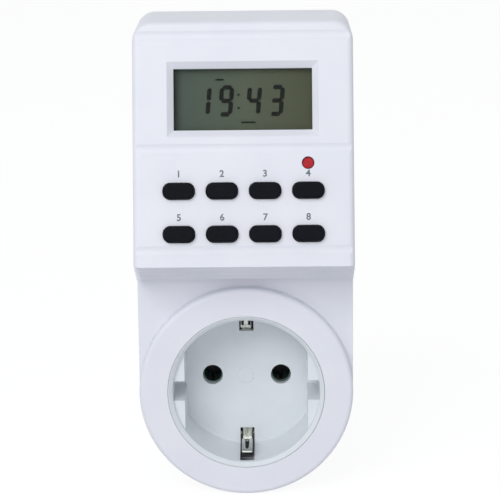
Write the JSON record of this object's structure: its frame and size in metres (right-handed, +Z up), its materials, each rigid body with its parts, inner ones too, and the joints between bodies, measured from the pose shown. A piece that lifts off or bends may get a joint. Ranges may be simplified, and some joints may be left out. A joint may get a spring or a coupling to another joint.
{
  "type": "plug-in timer switch",
  "caption": "Plug-in digital time switch: mains plug behind, socket in a round collar in front, leaning head with a display, black keys and a recessed reset.",
  "frame": {"origin": "centre of the plug's end face, on the axis that the plug and the socket share", "axes": "+X to the right seen from the front, +Z up, +Y out of the back into the wall, along the plug's pins"},
  "size_m": [0.058, 0.079, 0.1292],
  "materials": {
    "white_shell": "satin moulded",
    "white_insert": "satin moulded",
    "black_key": "soft gloss",
    "red_plastic": "gloss",
    "clear_window": "clear polished",
    "display_glass": "grey-green liquid crystal",
    "nickel_pin": "nickel plated",
    "earth_metal": "nickel plated",
    "spring_brass": "stamped",
    "screw_steel": "zinc plated",
    "carrier_plastic": "moulded",
    "zebra_rubber": "matt",
    "keypad_rubber": "matt",
    "circuit_board": "solder resist",
    "epoxy": "cast",
    "steel_can": "drawn",
    "relay_case": "moulded",
    "capacitor_case": "moulded",
    "capacitor_sleeve": "shrunk sleeve",
    "resistor_body": "lacquered",
    "ribbon_sleeve": "extruded"
  },
  "bodies": {
    "housing": {"front_housing": "white_shell", "rear_housing": "white_shell", "socket_insert": "white_insert", "contact_carrier": "carrier_plastic", "live_contact": "spring_brass", "neutral_contact": "spring_brass", "live_feed_strip": "spring_brass", "live_pin": "nickel_pin", "neutral_pin": "nickel_pin", "earth_strap": "earth_metal", "plug_earth_contacts": "earth_metal", "housing_screws": "screw_steel", "display_window": "clear_window", "display_frame": "carrier_plastic", "display_glass": "display_glass", "zebra_strips": "zebra_rubber", "control_board": "circuit_board", "processor_blob": "epoxy", "watch_crystal": "steel_can", "backup_cell": "steel_can", "reset_switch": "epoxy", "control_board_screws": "screw_steel", "keypad_mat": "keypad_rubber", "power_board": "circuit_board", "relay": "relay_case", "dropper_capacitor": "capacitor_case", "smoothing_capacitor": "capacitor_sleeve", "rectifier_diodes": "epoxy", "fusible_resistor": "resistor_body", "power_board_screws": "screw_steel", "ribbon_cable": "ribbon_sleeve"},
    "key_week": {"key_week": "black_key"},
    "key_hour": {"key_hour": "black_key"},
    "key_minute": {"key_minute": "black_key"},
    "key_recall": {"key_recall": "black_key"},
    "key_clock": {"key_clock": "black_key"},
    "key_timer": {"key_timer": "black_key"},
    "key_mode": {"key_mode": "black_key"},
    "key_random": {"key_random": "black_key"},
    "reset_plunger": {"reset_plunger": "red_plastic"}
  },
  "joints": [
    {"name": "week_key_press", "type": "slide", "parent": "housing", "child": "key_week", "axis": [0, 0.9668, -0.2554], "range_m": [0, 0.0009], "stiffness_N_per_m": 300, "springref_m": -0.0005},
    {"name": "hour_key_press", "type": "slide", "parent": "housing", "child": "key_hour", "axis": [0, 0.9668, -0.2554], "range_m": [0, 0.0009], "stiffness_N_per_m": 300, "springref_m": -0.0005},
    {"name": "minute_key_press", "type": "slide", "parent": "housing", "child": "key_minute", "axis": [0, 0.9668, -0.2554], "range_m": [0, 0.0009], "stiffness_N_per_m": 300, "springref_m": -0.0005},
    {"name": "recall_key_press", "type": "slide", "parent": "housing", "child": "key_recall", "axis": [0, 0.9668, -0.2554], "range_m": [0, 0.0009], "stiffness_N_per_m": 300, "springref_m": -0.0005},
    {"name": "clock_key_press", "type": "slide", "parent": "housing", "child": "key_clock", "axis": [0, 0.9668, -0.2554], "range_m": [0, 0.0009], "stiffness_N_per_m": 300, "springref_m": -0.0005},
    {"name": "timer_key_press", "type": "slide", "parent": "housing", "child": "key_timer", "axis": [0, 0.9668, -0.2554], "range_m": [0, 0.0009], "stiffness_N_per_m": 300, "springref_m": -0.0005},
    {"name": "mode_key_press", "type": "slide", "parent": "housing", "child": "key_mode", "axis": [0, 0.9668, -0.2554], "range_m": [0, 0.0009], "stiffness_N_per_m": 300, "springref_m": -0.0005},
    {"name": "random_key_press", "type": "slide", "parent": "housing", "child": "key_random", "axis": [0, 0.9668, -0.2554], "range_m": [0, 0.0009], "stiffness_N_per_m": 300, "springref_m": -0.0005},
    {"name": "reset_press", "type": "slide", "parent": "housing", "child": "reset_plunger", "axis": [0, 0.9668, -0.2554], "range_m": [0, 0.0008], "stiffness_N_per_m": 300, "springref_m": -0.0005}
  ]
}
